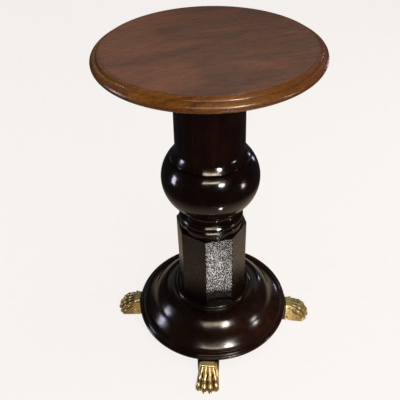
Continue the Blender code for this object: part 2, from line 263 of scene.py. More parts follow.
@dataclass(frozen=True)
class PolishedMahogany:
    """Oiled and polished mahogany, its grain running nearly across the table."""

    name: str = "polished_mahogany"
    grain_turn: float = -17.0
    shade: Colour = (0.048, 0.021, 0.013)
    brown: Colour = (0.077, 0.031, 0.016)
    red: Colour = (0.160, 0.055, 0.022)
    umber: Colour = (0.054, 0.015, 0.0045)
    amber: Colour = (0.122, 0.043, 0.0070)
    gold: Colour = (0.170, 0.070, 0.012)
    moulding_top: float = 736.3

    def make(self) -> bpy.types.Material:
        """Build the material."""
        sheet = Sheet(self.name)
        along = sheet.where(self.grain_turn, (1.0, 5.0, 5.0))
        figure = sheet.noise(along, 3.4, 3.0, 0.55, 0.6)
        streaks = sheet.noise(sheet.where(self.grain_turn, (0.9, 14.0, 14.0)), 9.0, 3.0, 0.6, 0.3)
        fibres = sheet.noise(sheet.where(self.grain_turn, (1.0, 22.0, 22.0)), 34.0, 2.0, 0.6)
        pores = sheet.noise(sheet.where(self.grain_turn, (1.0, 12.0, 12.0)), 130.0, 1.0, 0.5)
        patches = sheet.noise(sheet.where(self.grain_turn, (1.0, 2.2, 2.2)), 4.2, 2.0, 0.5, 0.4)
        flat = sheet.ramp(
            figure * 0.6 + streaks * 0.4,
            ((0.28, self.shade), (0.50, self.brown), (0.78, self.red)),
        )
        flat = sheet.mix(0.25, flat, self.brown)
        side = sheet.add("ShaderNodeSeparateXYZ", None, {0: sheet.object_space}, 0)
        rosy = (patches + side.ease(-0.21, 0.0, 0.16, 0.0)).ease(0.46, 0.68)
        flat = sheet.mix(rosy * 0.7, flat, self.red)
        edge = sheet.ramp(
            patches * 0.5 + streaks * 0.5,
            ((0.32, self.umber), (0.48, self.amber), (0.66, self.gold)),
        )
        edge = sheet.mix((side + streaks * 0.12).ease(0.05, 0.24, 0.0, 0.75), edge, self.umber)
        height = sheet.add("ShaderNodeSeparateXYZ", None, {0: sheet.object_space}, 2)
        on_edge = height.ease(self.moulding_top * MM, (self.moulding_top + 0.6) * MM, 1.0, 0.0)
        wood = sheet.mix(on_edge, flat, edge)
        wood = sheet.mix(fibres.ease(0.35, 0.62, 0.42, 0.0), wood, self.shade, "MULTIPLY")
        wood = sheet.mix(pores.ease(0.60, 0.70, 0.0, 0.5), wood, self.shade)
        dust = sheet.noise(sheet.where(0.0), 60.0, 2.0, 0.6)
        return sheet.close(
            {
                "Base Color": wood,
                "Roughness": 0.21 + dust * 0.12 + pores.ease(0.60, 0.70) * 0.1,
                "IOR": 1.5,
                "Normal": sheet.bump(fibres * 0.5 + pores.ease(0.58, 0.70, 1.0, 0.0) * 0.5, 0.035),
            }
        )


@dataclass(frozen=True)
class DarkPolish:
    """Nearly black French polish over red-brown wood, which shows through where it is thin."""

    name: str = "dark_polish"
    black: Colour = (0.0011, 0.0004, 0.0002)
    brown: Colour = (0.0062, 0.0015, 0.0005)
    red: Colour = (0.0180, 0.0046, 0.0015)
    gloss: float = 0.115
    grain_depth: float = 0.006
    grain_scale: float = 38.0
    grain_stretch: float = 14.0
    open_pores: float = 0.0

    def make(self) -> bpy.types.Material:
        """Build the material."""
        sheet = Sheet(self.name)
        along = sheet.where(0.0, (self.grain_stretch, self.grain_stretch, 1.0))
        figure = sheet.noise(along, 3.0, 3.0, 0.5, 0.5)
        fibres = sheet.noise(along, self.grain_scale, 2.0, 0.6)
        clouds = sheet.noise(sheet.where(0.0), 9.0, 2.0, 0.5)
        wood = sheet.ramp(
            figure * 0.5 + clouds * 0.5,
            ((0.34, self.black), (0.52, self.brown), (0.72, self.red)),
        )
        wood = sheet.mix(fibres.ease(0.40, 0.62, 0.5, 0.0), wood, self.black)
        wipes = sheet.noise(sheet.where(0.0, (1.0, 1.0, 2.0)), 45.0, 3.0, 0.6)
        waves = sheet.noise(sheet.where(0.0), 70.0, 1.0, 0.4)
        normal = sheet.bump(waves, 0.02)
        pores = sheet.noise(sheet.where(0.0, (1.0, 1.0, 0.35)), 420.0, 1.0, 0.5)
        gloss = wipes.ease(0.35, 0.75, self.gloss, self.gloss + 0.07)
        return sheet.close(
            {
                "Base Color": wood,
                "Roughness": gloss + pores.ease(0.44, 0.56, 0.0, self.open_pores),
                "IOR": 1.5,
                "Normal": sheet.bump(fibres, self.grain_depth, normal),
            }
        )


@dataclass(frozen=True)
class PlainWood:
    """Unpolished wood on hidden faces, stained but open-grained."""

    name: str = "plain_wood"
    dark: Colour = (0.060, 0.028, 0.015)
    light: Colour = (0.155, 0.080, 0.042)

    def make(self) -> bpy.types.Material:
        """Build the material."""
        sheet = Sheet(self.name)
        along = sheet.where(-17.0, (1.0, 14.0, 14.0))
        grain = sheet.noise(along, 8.0, 4.0, 0.6, 0.4)
        pores = sheet.noise(along, 60.0, 2.0, 0.5)
        wood = sheet.ramp(grain, ((0.3, self.dark), (0.7, self.light)))
        wood = sheet.mix(pores.ease(0.55, 0.68, 0.0, 0.6), wood, self.dark)
        return sheet.close(
            {"Base Color": wood, "Roughness": 0.62 + grain * 0.2, "Normal": sheet.bump(pores, 0.08)}
        )


@dataclass(frozen=True)
class CastBrass:
    """Cast brass, bright on its high places and tarnished brown in its hollows."""

    name: str = "cast_brass"
    bright: Colour = (0.86, 0.70, 0.38)
    deep: Colour = (0.66, 0.49, 0.21)
    tarnish: Colour = (0.10, 0.062, 0.022)
    toe_start: float = 206.0

    def make(self) -> bpy.types.Material:
        """Build the material."""
        sheet = Sheet(self.name)
        place = sheet.where(0.0)
        clouds = sheet.noise(place, 55.0, 3.0, 0.6)
        grit = sheet.noise(place, 900.0, 2.0, 0.6)
        hollow = sheet.add("ShaderNodeNewGeometry", outlet="Pointiness")
        worn = sheet.mix(clouds.ease(0.35, 0.70), self.deep, self.bright)
        toes = sheet.add("ShaderNodeVectorMath", {"operation": "LENGTH"}, {0: place}, "Value")
        toes = toes.ease(self.toe_start * MM, (self.toe_start + 6) * MM)
        brass = sheet.mix(toes * grit.ease(0.42, 0.58, 0.12, 0.85), worn, self.tarnish)
        brass = sheet.mix(hollow.ease(0.45, 0.505, 0.95, 0.0), brass, self.tarnish)
        return sheet.close(
            {
                "Base Color": brass,
                "Metallic": 1.0,
                "Roughness": clouds.ease(0.30, 0.75, 0.42, 0.30) + hollow.ease(0.45, 0.50, 0.2, 0.0),
                "Normal": sheet.bump(grit + clouds * 0.6, 0.03),
            }
        )


@dataclass(frozen=True)
class Steel:
    """Steel hardware, brushed or blackened."""

    name: str
    light: Colour
    dark: Colour
    roughness: float

    def make(self) -> bpy.types.Material:
        """Build the material."""
        sheet = Sheet(self.name)
        scratches = sheet.noise(sheet.where(20.0, (1.0, 30.0, 30.0)), 120.0, 2.0, 0.6)
        stains = sheet.noise(sheet.where(0.0), 90.0, 3.0, 0.6)
        metal = sheet.mix(stains.ease(0.4, 0.7), self.light, self.dark)
        return sheet.close(
            {
                "Base Color": metal,
                "Metallic": 1.0,
                "Roughness": self.roughness + scratches * 0.15,
                "Normal": sheet.bump(scratches, 0.01),
            }
        )


# ---------------------------------------------------------------- work at the bench


def let_go() -> None:
    """Leave edit mode and deselect every object."""
    if bpy.context.object and bpy.context.object.mode != "OBJECT":
        bpy.ops.object.mode_set(mode="OBJECT")
    bpy.ops.object.select_all(action="DESELECT")


def take(piece: bpy.types.Object, *others: bpy.types.Object) -> None:
    """Select only these objects, with the first of them active.

    Args:
        piece: the active object.
        others: more objects.
    """
    let_go()
    for shape in (piece, *others):
        shape.select_set(True)
    bpy.context.view_layer.objects.active = piece


def added(name: str) -> bpy.types.Object:
    """Name the primitive just added and put its place into its mesh.

    Args:
        name: the piece's name.

    Returns:
        The object, at the origin.
    """
    piece = bpy.context.object
    piece.name = name
    piece.data.name = name
    bpy.ops.object.transform_apply(location=True, rotation=True, scale=True)
    return piece


def edit(piece: bpy.types.Object, mode: str = "VERT") -> None:
    """Go into edit mode with nothing selected.

    Args:
        piece: the object to edit.
        mode: what is selected: VERT, EDGE or FACE.
    """
    take(piece)
    bpy.ops.object.mode_set(mode="EDIT")
    bpy.ops.mesh.select_mode(type=mode)
    bpy.ops.mesh.select_all(action="DESELECT")


def pick(piece: bpy.types.Object, kind: str, wanted: Callable[[Any], bool]) -> None:
    """Select parts of a mesh by their place, staying in edit mode.

    Args:
        piece: the object, in edit mode.
        kind: vertices, edges or polygons.
        wanted: tells whether a part is selected; an edge comes as its two points.
    """
    bpy.ops.mesh.select_all(action="DESELECT")
    bpy.ops.object.mode_set(mode="OBJECT")
    mesh = piece.data
    for part in getattr(mesh, kind):
        given = [mesh.vertices[i].co for i in part.vertices] if kind == "edges" else part
        if wanted(given):
            part.select = True
    bpy.ops.object.mode_set(mode="EDIT")


def tidy(piece: bpy.types.Object, crease: float = 32.0) -> bpy.types.Object:
    """Merge doubles, point the faces outwards and shade the piece smooth.

    Args:
        piece: the object.
        crease: the angle in degrees above which an edge stays sharp.

    Returns:
        The same object.
    """
    edit(piece)
    bpy.ops.mesh.select_all(action="SELECT")
    bpy.ops.mesh.remove_doubles(threshold=MERGE)
    bpy.ops.mesh.normals_make_consistent(inside=False)
    take(piece)
    bpy.ops.object.shade_smooth_by_angle(angle=math.radians(crease))
    apply(piece, "WEIGHTED_NORMAL", {"mode": "FACE_AREA", "weight": 50, "keep_sharp": True})
    return piece


def apply(piece: bpy.types.Object, kind: str, settings: dict[str, Any]) -> None:
    """Give a piece a modifier and apply it.

    Args:
        piece: the object.
        kind: the modifier's type.
        settings: its options.
    """
    take(piece)
    modifier = piece.modifiers.new(kind.lower(), kind)
    for key, value in settings.items():
        setattr(modifier, key, value)
    bpy.ops.object.modifier_apply(modifier=modifier.name)


def cut(piece: bpy.types.Object, cutter: bpy.types.Object, solver: str = "EXACT") -> None:
    """Cut one shape out of another, and throw the cutter away.

    Args:
        piece: what is cut.
        cutter: what is cut away.
        solver: EXACT, or MANIFOLD for a closed mesh of many faces; it skips an open one.
    """
    apply(piece, "BOOLEAN", {"operation": "DIFFERENCE", "solver": solver, "object": cutter})
    bpy.data.objects.remove(cutter)


def copy_turned(master: bpy.types.Object, name: str, matrix: Matrix) -> bpy.types.Object:
    """Copy a piece with its own mesh, and put the copy's place into its mesh.

    Args:
        master: the piece modelled once.
        name: the copy's name.
        matrix: where the copy goes.

    Returns:
        The copy, at the origin.
    """
    take(master)
    bpy.ops.object.duplicate(linked=False)
    copy = bpy.context.object
    copy.matrix_world = matrix
    return added(name)


def block(name: str, low: Sequence[float], high: Sequence[float]) -> bpy.types.Object:
    """A block between two corners, to be shaped further.

    Args:
        name: its name.
        low: its lowest corner in millimetres.
        high: its highest corner in millimetres.

    Returns:
        The block.
    """
    let_go()
    middle = [(a + b) / 2 * MM for a, b in zip(low, high)]
    size = [(b - a) * MM for a, b in zip(low, high)]
    bpy.ops.mesh.primitive_cube_add(size=1, location=middle, scale=size)
    return added(name)


@dataclass
class Outline:
    """A half-section, drawn as (reach, height) points in millimetres."""

    points: list[Point] = field(default_factory=list)

    def to(self, *points: Point) -> "Outline":
        """Add points joined by plain lines."""
        self.points.extend(points)
        return self

    def run(self, reach: float, height: float, support: float = 0.3) -> "Outline":
        """Add a straight run, with a point near each end that keeps its shading flat.

        Args:
            reach: the end's distance from the axis.
            height: the end's height.
            support: how far those points are from the ends.

        Returns:
            The same outline.
        """
        start = Vector(self.points[-1])
        stop = Vector((reach, height))
        length = (stop - start).length
        if length > 3 * support:
            self.points.append(tuple(start.lerp(stop, support / length)))
            self.points.append(tuple(stop.lerp(start, support / length)))
        self.points.append((reach, height))
        return self

    def sweep(
        self, centre: Point, radius: float, start: float, stop: float, step: float = 6.0
    ) -> "Outline":
        """Add points along an arc.

        Args:
            centre: the arc's centre.
            radius: its radius.
            start: its first angle in degrees, from outwards and anticlockwise.
            stop: its last angle.
            step: the widest angle between points.

        Returns:
            The same outline.
        """
        count = max(2, math.ceil(abs(stop - start) / step))
        for number in range(count + 1):
            angle = math.radians(start + (stop - start) * number / count)
            self.points.append(
                (centre[0] + radius * math.cos(angle), centre[1] + radius * math.sin(angle))
            )
        return self


def turn(name: str, outline: Outline, steps: int = 168, crease: float = 32.0) -> bpy.types.Object:
    """Draw a half-section point by point and spin it into a round piece.

    Args:
        name: the piece's name.
        outline: its half-section; one that doesn't start on the axis is closed to its start.
        steps: how many faces go round.
        crease: the angle in degrees above which an edge stays sharp.

    Returns:
        The piece.
    """
    points = [Vector((reach * MM, 0, height * MM)) for reach, height in outline.points]
    if points[0].x > 0:
        points.append(points[0])
    let_go()
    bpy.ops.mesh.primitive_plane_add(size=MM)
    piece = added(name)
    edit(piece)
    bpy.ops.mesh.select_all(action="SELECT")
    bpy.ops.mesh.merge(type="CENTER")
    bpy.ops.transform.translate(value=points[0])
    for near, far in zip(points, points[1:]):
        bpy.ops.mesh.extrude_vertices_move(TRANSFORM_OT_translate={"value": far - near})
    bpy.ops.mesh.select_all(action="SELECT")
    bpy.ops.mesh.remove_doubles(threshold=MERGE)
    bpy.ops.mesh.spin(
        steps=steps, angle=2 * math.pi, center=(0, 0, 0), axis=(0, 0, 1), use_auto_merge=True
    )
    return tidy(piece, crease)


def dress(piece: bpy.types.Object, *materials: bpy.types.Material) -> None:
    """Give a piece its materials, in the order of its slots."""
    piece.data.materials.clear()
    for material in materials:
        piece.data.materials.append(material)


def hand_over(piece: bpy.types.Object, slot: str, *nodes: str) -> None:
    """Fix a finished piece to the frame in place of its solids.

    Args:
        piece: the finished piece.
        slot: not used.
        nodes: the solids it stands for.
    """
    let_go()
    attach(piece, BODY)
    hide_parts(*nodes)
    piece.data.calc_loop_triangles()
    LOG.info("%s: %d triangles, for %s", piece.name, len(piece.data.loop_triangles), ", ".join(nodes))


# ---------------------------------------------------------------- the table's parts


@dataclass
class RoundTop:
    """The moulded top and the plate that it is screwed to."""

    height: float = 737.0
    flat: float = 195.5
    reach: float = 213.5
    underside: float = 712.2
    band_round: float = 9.3
    bead_round: float = 6.8
    plate_reach: float = 130.0
    plate_depth: float = 19.5
    nut_recess: float = 14.0
    nut_room: float = 16.0
    bore: float = 7.0
    screws: int = 6
    screw_circle: float = 105.0
    gap: float = 0.3

    def outline(self) -> Outline:
        """The top's half-section: a quirk, a small bead and a wide half-round band."""
        quirk = self.height - 0.9
        bead = (self.flat + 1.1, quirk - self.bead_round)
        band = (self.reach - self.band_round, self.underside + self.band_round)
        line = Outline().to((0, self.height), (self.flat - 2, self.height))
        line.sweep((self.flat - 0.5, self.height - 0.5), 0.5, 90, 10, 20)
        line.to((self.flat + 0.05, quirk - 0.05))
        line.sweep(bead, self.bead_round, 90, 10, 4)
        line.sweep(band, self.band_round, 84, -84, 4)
        line.to((self.reach - self.band_round, self.underside))
        line.to((self.reach - self.band_round - 1, self.underside))
        return line.to((0, self.underside))

    def build(self, polish: bpy.types.Material, plain: bpy.types.Material) -> None:
        """Build and dress both pieces.

        Args:
            polish: the finish of the top.
            plain: the finish of the plate and of the top's underside.
        """
        top = turn("moulded_top", self.outline(), 240, 26)
        dress(top, polish, plain)
        low = (self.underside + 0.2) * MM
        edit(top, "FACE")
        pick(top, "polygons", lambda face: face.center.z < low and face.normal.z < -0.9)
        top.active_material_index = 1
        bpy.ops.object.material_slot_assign()
        hand_over(top, "polished_mahogany", "table_top")

        face = self.underside - self.gap
        floor = face - self.nut_recess
        bottom = face - self.plate_depth
        line = Outline().to((self.nut_room, face)).run(self.plate_reach - 0.5, face)
        line.sweep((self.plate_reach - 0.5, face - 0.5), 0.5, 90, 0, 30)
        line.run(self.plate_reach, bottom + 4).run(self.plate_reach - 4, bottom)
        line.run(self.bore, bottom).run(self.bore, floor).run(self.nut_room, floor)
        plate = turn("mounting_plate", line, 120)
        for number in range(self.screws):
            angle = math.radians(self.screw_bearing(number))
            hole = turn(f"plate_hole_{number}", PLATE_SCREW.outline(self.gap), 24)
            out = Vector((math.sin(angle), -math.cos(angle), 0)) * self.screw_circle
            at = (out + Vector((0, 0, bottom))) * MM
            hole.matrix_world = Matrix.Translation(at) @ Matrix.Rotation(math.pi, 4, "X")
            cut(plate, hole)
        tidy(plate)
        dress(plate, plain)
        hand_over(plate, "plain_wood", "top_plate")

    def screw_bearing(self, number: int) -> float:
        """Where one of the plate's screws stands, in degrees from the front."""
        return 360 / self.screws * (number + 0.5)

    def screw_spots(self) -> dict[str, Matrix]:
        """Where the plate's screws go, by the names of their solids."""
        spots = {}
        height = self.underside - self.gap - self.plate_depth
        for number in range(self.screws):
            at = around(self.screw_bearing(number), self.screw_circle, height)
            spots[f"plate_screw_{number + 1}"] = standing(at, Vector((0, 0, -1)))
        return spots


@dataclass
class Column:
    """The turned shaft, bulb and collar, and the octagonal column under them."""

    bore: float = 7.0
    tenon: float = 30.0
    tenon_length: float = 24.0
    gap: float = 0.3
    shaft_top: float = 692.1
    shaft_reach: float = 70.6
    shaft_foot: float = 73.0
    flare_start: float = 527.0
    flare_round: float = 25.0
    shaft_bottom: float = 502.4
    bulb_reach: float = 106.0
    bulb_centre: float = 446.7
    bulb_half_height: float = 91.8
    bulb_bottom: float = 374.0
    drum_reach: float = 72.5
    drum_top: float = 336.5
    octagon_top: float = 321.3
    octagon_bottom: float = 119.8
    octagon_corner: float = 81.2
    octagon_turn: float = 12.7
    foot_tenon: float = 35.0

    def shaft_outline(self) -> Outline:
        """The plain shaft, which flares out over the bulb."""
        line = Outline().to((self.bore, self.shaft_top)).run(self.shaft_reach, self.shaft_top)
        line.run(self.shaft_foot, self.flare_start)
        line.sweep((self.shaft_foot + self.flare_round, self.flare_start), self.flare_round, 181, 208.5, 2)
        line.sweep((181.5, 572.3), 120.0, 208.7, 214.4, 0.8)
        line.sweep((82.1, 503.8), 0.7, 34, -60, 15)
        line.to((81.4, self.shaft_bottom))
        line.run(self.tenon, self.shaft_bottom).run(self.tenon, self.shaft_bottom - self.tenon_length)
        return line.run(self.bore, self.shaft_bottom - self.tenon_length)

    def bulb_outline(self) -> Outline:
        """The oval bulb, cut flat above and below, with its tenon."""
        top = self.shaft_bottom - self.gap
        start = math.asin((top - 1.0 - self.bulb_centre) / self.bulb_half_height)
        stop = -math.asin((self.bulb_centre - self.bulb_bottom - 0.5) / self.bulb_half_height)
        socket = self.tenon + self.gap
        floor = top - self.tenon_length - self.gap
        line = Outline().to((socket, top)).run(82.0, top).to((83.4, top - 0.2))
        count = 44
        for number in range(count + 1):
            angle = start + (stop - start) * number / count
            reach = self.bulb_reach * math.cos(angle)
            line.to((reach, self.bulb_centre + self.bulb_half_height * math.sin(angle)))
        foot = self.bulb_bottom - self.tenon_length
        line.to((line.points[-1][0] - 1.5, self.bulb_bottom)).run(self.tenon, self.bulb_bottom)
        line.run(self.tenon, foot).run(self.bore, foot).run(self.bore, floor)
        return line.run(socket, floor)

    def collar_outline(self) -> Outline:
        """The collar: a cove, a torus, a groove and a low drum."""
        top = self.bulb_bottom - self.gap
        socket = self.tenon + self.gap
        floor = top - self.tenon_length - self.gap
        bottom = self.octagon_top + self.gap
        line = Outline().to((socket, top)).run(65.5, top)
        line.sweep((74.5, 364.7), 12.5, 134, 208, 5)
        line.to((63.6, 356.7), (65.4, 356.2), (66.0, 355.7))
        line.sweep((21.8, 315.0), 60.0, 42, 35, 1.2).sweep((66.05, 346.03), 6.0, 34, -62, 6)
        line.to((68.6, 338.7))
        line.sweep((self.drum_reach - 1.9, self.drum_top - 1.9), 1.9, 96, 0, 12)
        line.run(self.drum_reach, bottom).run(self.tenon, bottom)
        line.run(self.tenon, bottom - self.tenon_length).run(self.bore, bottom - self.tenon_length)
        return line.run(self.bore, floor).run(socket, floor)

    def octagon(self) -> bpy.types.Object:
        """The octagonal column, its edges eased, socketed above and tenoned below."""
        let_go()
        depth = self.octagon_top - self.octagon_bottom
        middle = (self.octagon_top + self.octagon_bottom) / 2
        bpy.ops.mesh.primitive_cylinder_add(
            vertices=8,
            radius=self.octagon_corner * MM,
            depth=depth * MM,
            location=(0, 0, middle * MM),
            rotation=(0, 0, math.radians(self.octagon_turn - 90 + 22.5)),
        )
        column = added("octagon_shaft")
        edit(column, "EDGE")
        pick(column, "edges", lambda ends: abs(ends[0].z - ends[1].z) > 50 * MM)
        bpy.ops.mesh.bevel(offset=0.9 * MM, segments=4, profile=0.5)
        high = self.octagon_top * MM
        pick(column, "edges", lambda ends: min(ends[0].z, ends[1].z) > high - 0.001 * MM)
        bpy.ops.mesh.bevel(offset=0.5 * MM, segments=3, profile=0.5)
        base = self.octagon_bottom - self.tenon_length
        foot = turn(
            "octagon_foot",
            Outline().to((0, self.octagon_bottom + 4)).run(self.foot_tenon, self.octagon_bottom + 4)
            .run(self.foot_tenon, base).run(0, base),
            64,
        )
        apply(column, "BOOLEAN", {"operation": "UNION", "solver": "EXACT", "object": foot})
        bpy.data.objects.remove(foot)
        socket = self.tenon + self.gap
        floor = self.octagon_top - self.tenon_length - self.gap
        bit = Outline().to((0, self.octagon_top + 5)).run(socket, self.octagon_top + 5)
        bit.run(socket, floor).run(self.bore, floor).run(self.bore, base - 5).run(0, base - 5)
        cut(column, turn("octagon_bit", bit, 64))
        return tidy(column, 20)

    def build(self, polish: bpy.types.Material, octagon_polish: bpy.types.Material) -> None:
        """Build and dress the four pieces.

        Args:
            polish: the finish of the turned pieces.
            octagon_polish: the finish of the octagon, whose grain stands a little proud.
        """
        for name, outline, node in (
            ("shaft_turning", self.shaft_outline(), "upper_shaft"),
            ("bulb_turning", self.bulb_outline(), "bulb"),
            ("collar_turning", self.collar_outline(), "neck_collar"),
        ):
            piece = turn(name, outline)
            dress(piece, polish)
            hand_over(piece, "dark_polish", node)
        column = self.octagon()
        dress(column, octagon_polish)
        hand_over(column, "dark_polish", "octagon_column")


@dataclass
class TurnedBase:
    """The bell-shaped base: a bead at the column's foot, an ogee and a beaded rim."""

    plateau: float = 119.5
    underside: float = 42.5
    reach: float = 187.4
    bead_round: float = 5.5
    socket: float = 35.3
    socket_floor: float = 95.5
    bore: float = 7.0
    counterbore: float = 16.0
    counterbore_depth: float = 30.0

    def outline(self) -> Outline:
        """The base's half-section."""
        floor = self.underside + self.counterbore_depth
        line = Outline().to((self.socket, self.plateau)).run(82.6, self.plateau, 0.2)
        line.sweep((88.0, 117.0), 5.5, 150, -20, 6)
        line.sweep((100.0, 77.9), 35.4, 97, 48.5, 2.5)
        line.sweep((4.19, -30.41), 180.0, 48.0, 44.5, 0.8)
        line.sweep((79.08, 43.18), 75.0, 43.5, 31, 1.5)
        line.sweep((207.66, 120.44), 75.0, 212, 224.5, 1.5)
        line.sweep((282.55, 194.03), 180.0, 225, 228.5, 0.8)
        line.sweep((189.78, 89.18), 40.0, 230, 242, 2)
        line.to((171.6, 53.4), (172.0, 53.1), (172.5, 53.6))
        line.sweep((176.8, 49.8), 5.4, 135, 52, 8)
        line.to((180.9, 53.2), (181.2, 52.9))
        rim = (self.reach - self.bead_round, self.underside + self.bead_round)
        line.sweep(rim, self.bead_round, 88, -88, 6)
        line.to((self.reach - self.bead_round - 1, self.underside))
        line.run(self.counterbore, self.underside).run(self.counterbore, floor)
        line.run(self.bore, floor).run(self.bore, self.socket_floor)
        return line.run(self.socket, self.socket_floor)

    def build(self, polish: bpy.types.Material, plain: bpy.types.Material) -> None:
        """Build and dress the base.

        Args:
            polish: the finish that is seen.
            plain: the finish of its underside.
        """
        base = turn("base_turning", self.outline(), 216)
        dress(base, polish, plain)
        low = (self.underside + 0.05) * MM
        edit(base, "FACE")
        pick(base, "polygons", lambda face: face.center.z < low and face.normal.z < -0.9)
        base.active_material_index = 1
        bpy.ops.object.material_slot_assign()
        hand_over(base, "dark_polish", "base")


class Foot(Enum):
    """The four feet, each with its bearing from the front, in quarter turns anticlockwise."""

    FRONT = 0
    RIGHT = 1
    BACK = 2
    LEFT = 3

    def bearing(self) -> float:
        """The foot's bearing in radians; the cross is turned a little clockwise."""
        return math.radians(-3.65) + self.value * math.pi / 2


@dataclass(frozen=True)
class ScrewSize:
    """A countersunk screw's sizes: the radii of its head and shank, and its length."""

    head: float
    shank: float
    length: float

    def outline(self, clearance: float = 0.0) -> Outline:
        """Its half-section, the head flush with height 0 and the point below.

        Args:
            clearance: how much wider all round, for the screw's own hole.

        Returns:
            The half-section.
        """
        head = self.head + clearance
        shank = self.shank + clearance
        mouth = clearance * 2
        line = Outline().to((0, mouth)).run(head, mouth, 0.1).to((head, -0.3), (shank, shank - head))
        return line.run(shank, shank - self.length, 0.1).to((0, -self.length - clearance))


BAR_SCREW = ScrewSize(4.5, 2.2, 50.0)
PLATE_SCREW = ScrewSize(4.5, 2.2, 33.0)
PAW_SCREW = ScrewSize(2.2, 1.2, 13.0)


@dataclass
class Screws:
    """Countersunk screws with slotted heads, modelled once and copied."""

    name: str
    size: ScrewSize
    slot_width: float = 0.22

    def model(self) -> bpy.types.Object:
        """The screw at the origin, its head up, with a slot across it."""
        screw = turn(f"{self.name}_model", self.size.outline(), 28)
        head = self.size.head
        half = head * self.slot_width / 2
        slot = block("slot", (-head * 2, -half, -head * self.slot_width), (head * 2, half, 1))
        cut(screw, slot)
        return tidy(screw, 30)

    def place(self, spots: dict[str, Matrix], finish: bpy.types.Material, slot: str) -> None:
        """Copy the screw to each of its places.

        Args:
            spots: where each solid's screw goes, by the solid's name.
            finish: the screws' finish.
            slot: passed on to hand_over, which does not use it.
        """
        model = self.model()
        dress(model, finish)
        for number, (node, matrix) in enumerate(spots.items()):
            spin = Matrix.Rotation(math.radians(37 * number), 4, "Z")
            hand_over(copy_turned(model, f"{node}_slotted", matrix @ spin), slot, node)
        bpy.data.objects.remove(model)


def standing(at: Vector, way: Vector) -> Matrix:
    """The matrix that points a screw's head along a way, at a place in millimetres.

    Args:
        at: the middle of the head's face.
        way: where the head looks.

    Returns:
        The matrix.
    """
    return Matrix.Translation(at * MM) @ way.to_track_quat("Z", "Y").to_matrix().to_4x4()


@dataclass
class Cross:
    """The two half-lapped bars under the base, with a stub at each end for a brass cap."""

    width: float = 50.0
    top: float = 42.2
    bottom: float = 3.0
    reach: float = 188.7
    stub_width: float = 35.0
    stub_reach: float = 221.0
    stub_bottom: float = 5.0
    stub_top: float = 32.0
    gap: float = 0.3
    screw_circles: tuple[float, float] = (75.0, 150.0)

    def screw_spots(self) -> dict[str, Matrix]:
        """Where the screws through the bars go, by the names of their solids."""
        spots = {}
        for foot in Foot:
            for which, reach in zip(("inner", "outer"), self.screw_circles):
                out = Vector((math.sin(foot.bearing()), -math.cos(foot.bearing()), 0)) * reach
                spot = standing(out + Vector((0, 0, self.bottom)), Vector((0, 0, -1)))
                spots[f"bar_screw_{foot.value + 1}_{which}"] = spot
        return spots

    def bar(self, name: str, notch_above: bool) -> bpy.types.Object:
        """One bar, lying along Y.

        Args:
            name: its name.
            notch_above: whether the other bar drops into it from above.

        Returns:
            The bar.
        """
        half = self.width / 2
        bar = block(name, (-half, -self.reach, self.bottom), (half, self.reach, self.top))
        stub_half = self.stub_width / 2
        stub = block(
            "stub",
            (-stub_half, -self.stub_reach, self.stub_bottom),
            (stub_half, self.stub_reach, self.stub_top),
        )
        apply(bar, "BOOLEAN", {"operation": "UNION", "solver": "EXACT", "object": stub})
        bpy.data.objects.remove(stub)
        middle = (self.top + self.bottom) / 2
        low = middle - self.gap / 2 if notch_above else self.bottom - 5
        high = self.top + 5 if notch_above else middle + self.gap / 2
        notch_half = half + self.gap
        cut(bar, block("notch", (-half - 5, -notch_half, low), (half + 5, notch_half, high)))
        for reach in self.screw_circles:
            for end in (-1, 1):
                hole = turn("bar_hole", BAR_SCREW.outline(self.gap), 24)
                hole.matrix_world = standing(Vector((0, end * reach, self.bottom)), Vector((0, 0, -1)))
                cut(bar, hole)
        edit(bar, "EDGE")
        bpy.ops.mesh.select_all(action="SELECT")
        bpy.ops.mesh.remove_doubles(threshold=MERGE)
        side = (half - 0.01) * MM
        past_notch = 30 * MM

        def outer(ends: Sequence[Vector]) -> bool:
            """Whether an edge is on the bar's side and clear of the notch."""
            return all(abs(end.x) > side and abs(end.y) > past_notch for end in ends)

        pick(bar, "edges", outer)
        bpy.ops.mesh.bevel(offset=1.0 * MM, segments=3, profile=0.5)
        return tidy(bar, 28)

    def build(self, polish: bpy.types.Material) -> None:
        """Build and dress both bars.

        Args:
            polish: their finish.
        """
        for name, node, foot, above in (
            ("long_bar", "cross_bar_long", Foot.FRONT, True),
            ("lapped_bar", "cross_bar_lapped", Foot.RIGHT, False),
        ):
            model = self.bar(f"{name}_model", above)
            piece = copy_turned(model, name, Matrix.Rotation(foot.bearing(), 4, "Z"))
            bpy.data.objects.remove(model)
            dress(piece, polish)
            hand_over(piece, "dark_polish", node)


